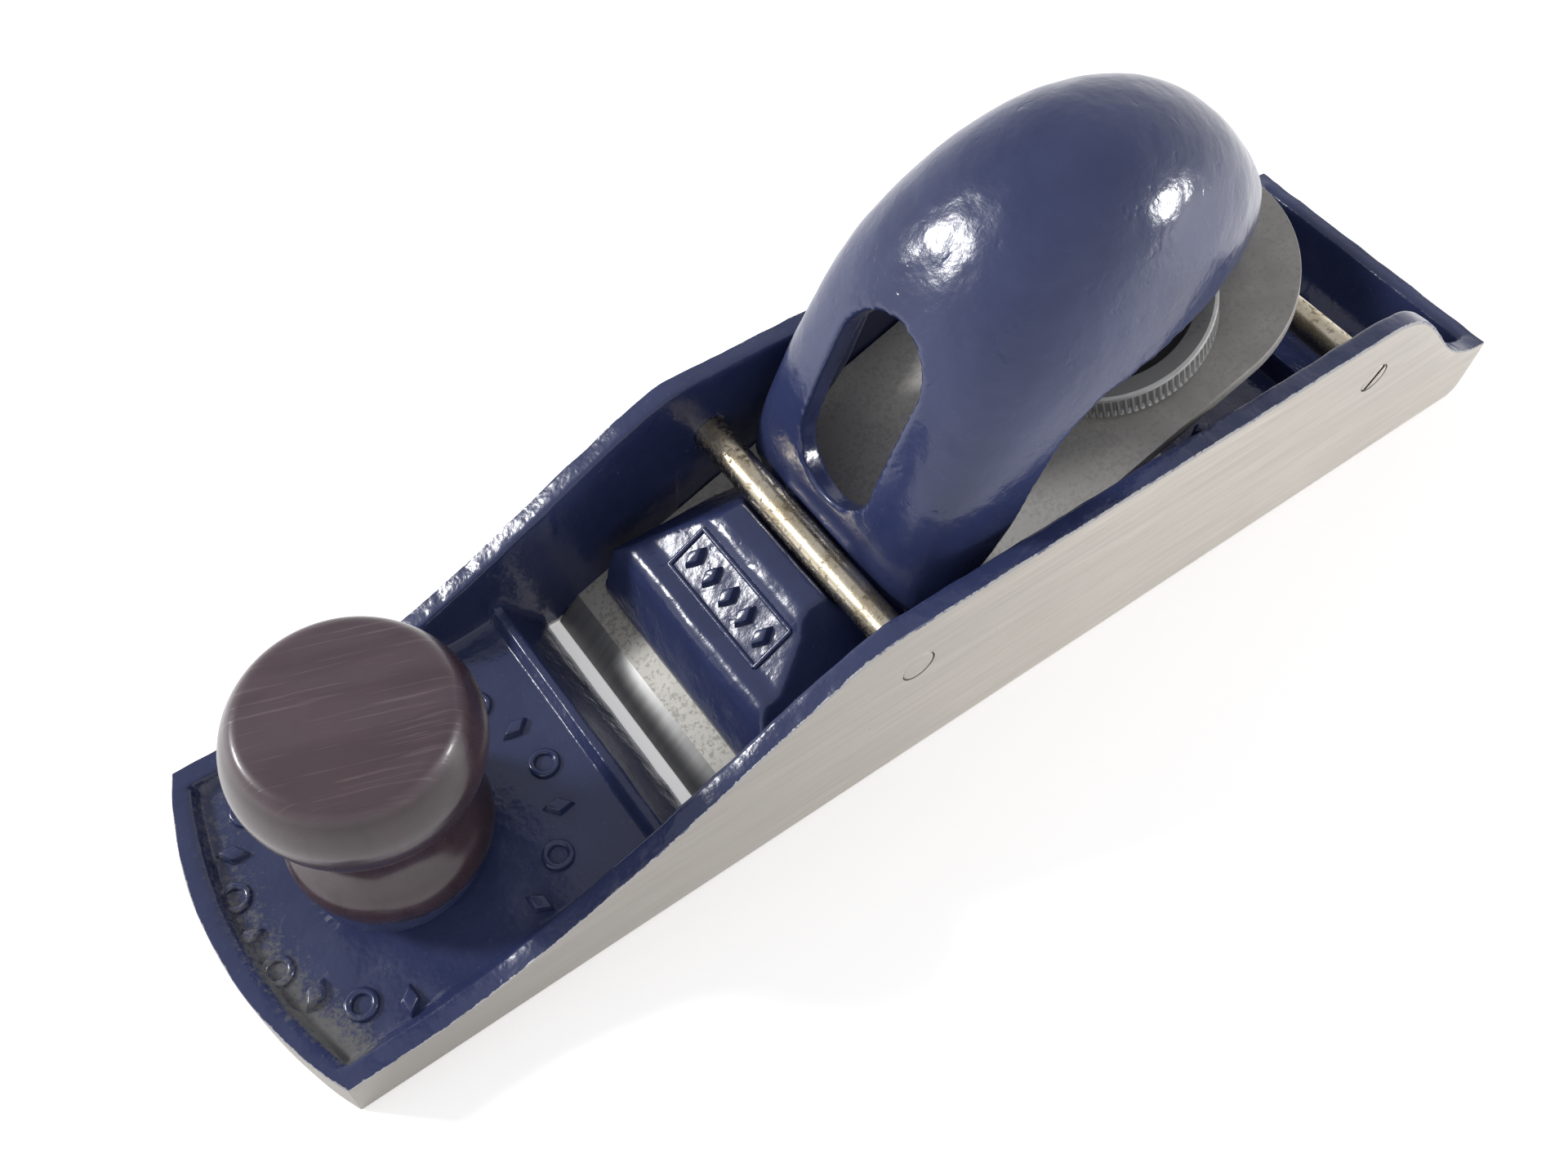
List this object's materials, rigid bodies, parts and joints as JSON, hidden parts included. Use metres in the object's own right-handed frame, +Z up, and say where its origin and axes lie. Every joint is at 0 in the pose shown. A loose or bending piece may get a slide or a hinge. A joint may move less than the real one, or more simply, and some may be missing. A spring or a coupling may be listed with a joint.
{
  "type": "hand plane",
  "caption": "Double-ended block plane: cast body with a mouth at each end, blade held by a palm-shaped lever cap and clamp wheel, and a turned wooden front knob.",
  "frame": {"origin": "centre of the sole, on the plane of the sole", "axes": "+X along the sole from the toe to the heel, +Z up out of the sole, +Y across the sole"},
  "size_m": [0.2032, 0.0478, 0.0749],
  "materials": {
    "body_iron": "glossy dark blue enamel on the cast inside, bare ground grey iron on the sole and cheeks",
    "cap_paint": "glossy dark blue enamel over a slightly lumpy casting",
    "rod_steel": "speckled bright steel with a faint golden tint",
    "blade_steel": "satin, finely pitted",
    "wheel_steel": "satin, milled edge",
    "screw_steel": "machined",
    "knob_wood": "dark stained hardwood, satin, worn and scratched on top",
    "insert_brass": "machined"
  },
  "bodies": {
    "body": {"body_casting": "body_iron", "front_cross_rod": "rod_steel", "knob_stud": "screw_steel"},
    "rear_rod": {"rear_cross_rod": "rod_steel"},
    "blade": {"blade": "blade_steel"},
    "cap": {"lever_cap": "cap_paint"},
    "screw": {"clamp_screw": "screw_steel"},
    "wheel": {"clamp_wheel": "wheel_steel"},
    "insert": {"knob_insert": "insert_brass"},
    "knob": {"front_knob": "knob_wood"}
  },
  "joints": [
    {"name": "blade_depth", "type": "slide", "parent": "body", "child": "blade", "axis": [0.9205, 0, 0.3907], "range_m": [-0.0006, 0.01]},
    {"name": "cap_rock", "type": "hinge", "parent": "body", "child": "cap", "pos_m": [-0.0168, 0, 0.0242], "axis": [0, 1, 0], "range_deg": [0, 2.2]},
    {"name": "screw_travel", "type": "slide", "parent": "cap", "child": "screw", "axis": [-0.3907, 0, 0.9205], "range_m": [0, 0.0026]},
    {"name": "wheel_turn", "type": "hinge", "parent": "screw", "child": "wheel", "pos_m": [0.03316, 0, 0.03516], "axis": [-0.3907, 0, 0.9205], "range_deg": [0, 720]},
    {"name": "knob_rise", "type": "slide", "parent": "body", "child": "insert", "axis": [0, 0, 1], "range_m": [0, 0.0128]},
    {"name": "knob_turn", "type": "hinge", "parent": "insert", "child": "knob", "pos_m": [-0.0776, 0, 0.0083], "axis": [0, 0, 1], "range_deg": [0, 3600]},
    {"name": "rear_rod_turn", "type": "hinge", "parent": "body", "child": "rear_rod", "pos_m": [0.0674, 0, 0.0242], "axis": [0, 1, 0], "range_deg": [0, 360]}
  ],
  "couplings": [
    {"joint": "screw_travel", "follows": "wheel_turn", "m_per_rad": 0.00019894},
    {"joint": "cap_rock", "follows": "wheel_turn", "ratio": 0.0027631},
    {"joint": "knob_rise", "follows": "knob_turn", "m_per_rad": 0.00020213}
  ]
}
